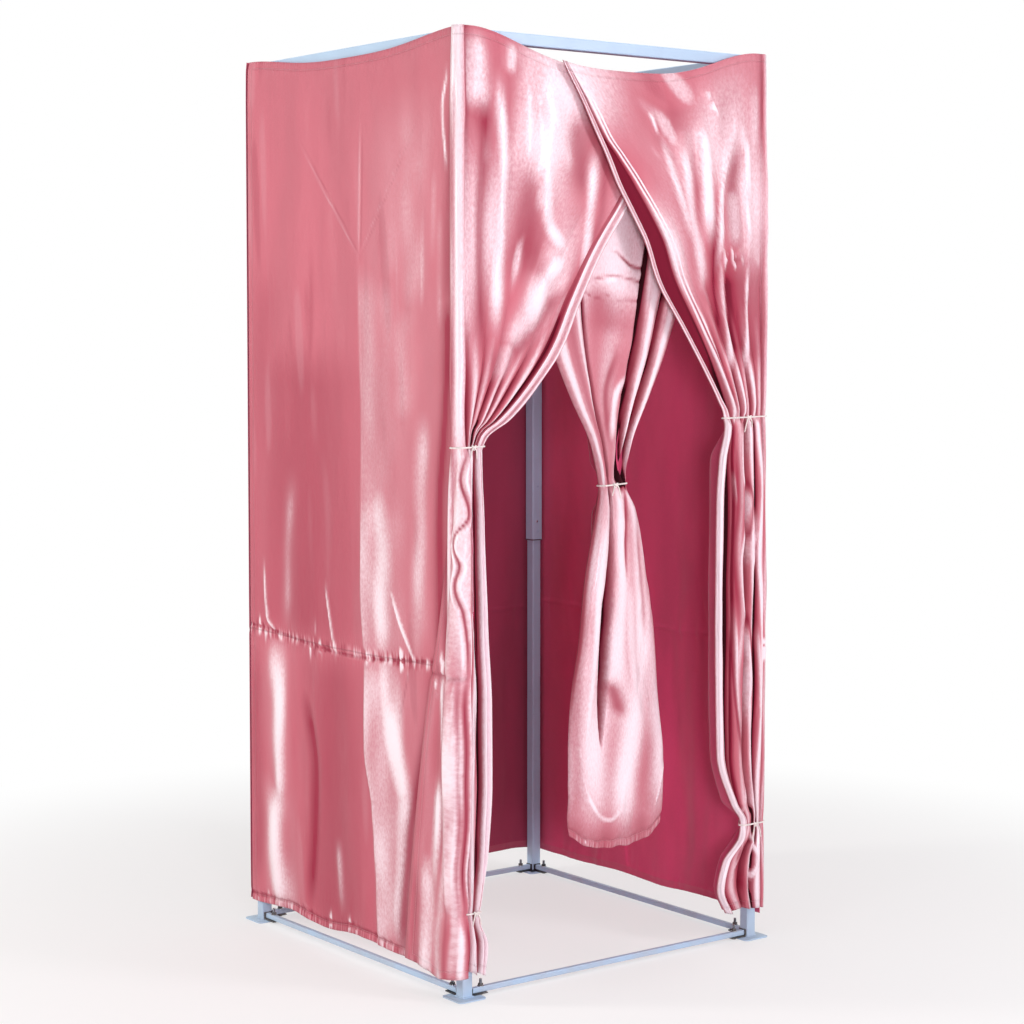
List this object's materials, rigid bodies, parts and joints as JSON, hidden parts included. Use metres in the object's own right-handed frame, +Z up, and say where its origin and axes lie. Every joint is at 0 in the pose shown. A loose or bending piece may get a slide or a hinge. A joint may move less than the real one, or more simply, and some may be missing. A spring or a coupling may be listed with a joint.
{
  "type": "portable fitting room",
  "caption": "Free-standing fabric changing cubicle: square telescoping metal frame on foot plates, satin side and back panels, a curtained doorway tied back with cords.",
  "frame": {"origin": "on the floor, under the middle of the room's box", "axes": "+Z up, +X to the right along the doorway side, +Y from the doorway to the rear wall"},
  "size_m": [0.8838, 0.8824, 2],
  "materials": {
    "pale_paint": "semi-gloss",
    "black_steel": "semi-gloss",
    "bright_steel": "polished",
    "grey_plastic": "matte",
    "rose_satin": "satin, glossy outside and matt inside",
    "white_cord": "matte"
  },
  "bodies": {
    "lower_frame": {"foot_plate_front_left": "pale_paint", "lower_post_front_left": "pale_paint", "corner_bracket_front_left": "black_steel", "foot_bolt_x_front_left": "black_steel", "foot_bolt_y_front_left": "black_steel", "foot_plate_front_right": "pale_paint", "lower_post_front_right": "pale_paint", "corner_bracket_front_right": "black_steel", "foot_bolt_x_front_right": "black_steel", "foot_bolt_y_front_right": "black_steel", "foot_plate_rear_left": "pale_paint", "lower_post_rear_left": "pale_paint", "corner_bracket_rear_left": "black_steel", "foot_bolt_x_rear_left": "black_steel", "foot_bolt_y_rear_left": "black_steel", "foot_plate_rear_right": "pale_paint", "lower_post_rear_right": "pale_paint", "corner_bracket_rear_right": "black_steel", "foot_bolt_x_rear_right": "black_steel", "foot_bolt_y_rear_right": "black_steel", "floor_bar_front": "pale_paint", "floor_bar_rear": "pale_paint", "floor_bar_left": "pale_paint", "floor_bar_right": "pale_paint"},
    "upper_frame": {"upper_post_front_left": "pale_paint", "post_bush_front_left": "grey_plastic", "corner_joint_front_left": "pale_paint", "corner_pocket_front_left": "rose_satin", "upper_post_front_right": "pale_paint", "post_bush_front_right": "grey_plastic", "corner_joint_front_right": "pale_paint", "corner_pocket_front_right": "rose_satin", "upper_post_rear_left": "pale_paint", "post_bush_rear_left": "grey_plastic", "corner_joint_rear_left": "pale_paint", "corner_pocket_rear_left": "rose_satin", "upper_post_rear_right": "pale_paint", "post_bush_rear_right": "grey_plastic", "corner_joint_rear_right": "pale_paint", "corner_pocket_rear_right": "rose_satin", "top_bar_front": "pale_paint", "top_bar_rear": "pale_paint", "top_bar_left": "pale_paint", "top_bar_right": "pale_paint", "left_wall": "rose_satin", "rear_wall": "rose_satin", "right_wall": "rose_satin", "left_curtain": "rose_satin", "right_curtain": "rose_satin", "inner_curtain": "rose_satin", "left_upper_tie": "white_cord", "left_lower_tie": "white_cord", "right_upper_tie": "white_cord", "right_lower_tie": "white_cord", "inner_tie": "white_cord"},
    "button_front_left": {"snap_button_front_left": "bright_steel"},
    "button_front_right": {"snap_button_front_right": "bright_steel"},
    "button_rear_left": {"snap_button_rear_left": "bright_steel"},
    "button_rear_right": {"snap_button_rear_right": "bright_steel"}
  },
  "joints": [
    {"name": "height_slide", "type": "slide", "parent": "lower_frame", "child": "upper_frame", "axis": [0, 0, 1], "range_m": [-0.04, 0.025]},
    {"name": "button_slide_front_left", "type": "slide", "parent": "lower_frame", "child": "button_front_left", "axis": [0, 1, 0], "range_m": [0, 0.003], "stiffness_N_per_m": 600, "springref_m": 0.003},
    {"name": "button_slide_front_right", "type": "slide", "parent": "lower_frame", "child": "button_front_right", "axis": [0, 1, 0], "range_m": [0, 0.003], "stiffness_N_per_m": 600, "springref_m": 0.003},
    {"name": "button_slide_rear_left", "type": "slide", "parent": "lower_frame", "child": "button_rear_left", "axis": [0, -1, 0], "range_m": [0, 0.003], "stiffness_N_per_m": 600, "springref_m": 0.003},
    {"name": "button_slide_rear_right", "type": "slide", "parent": "lower_frame", "child": "button_rear_right", "axis": [0, -1, 0], "range_m": [0, 0.003], "stiffness_N_per_m": 600, "springref_m": 0.003}
  ]
}
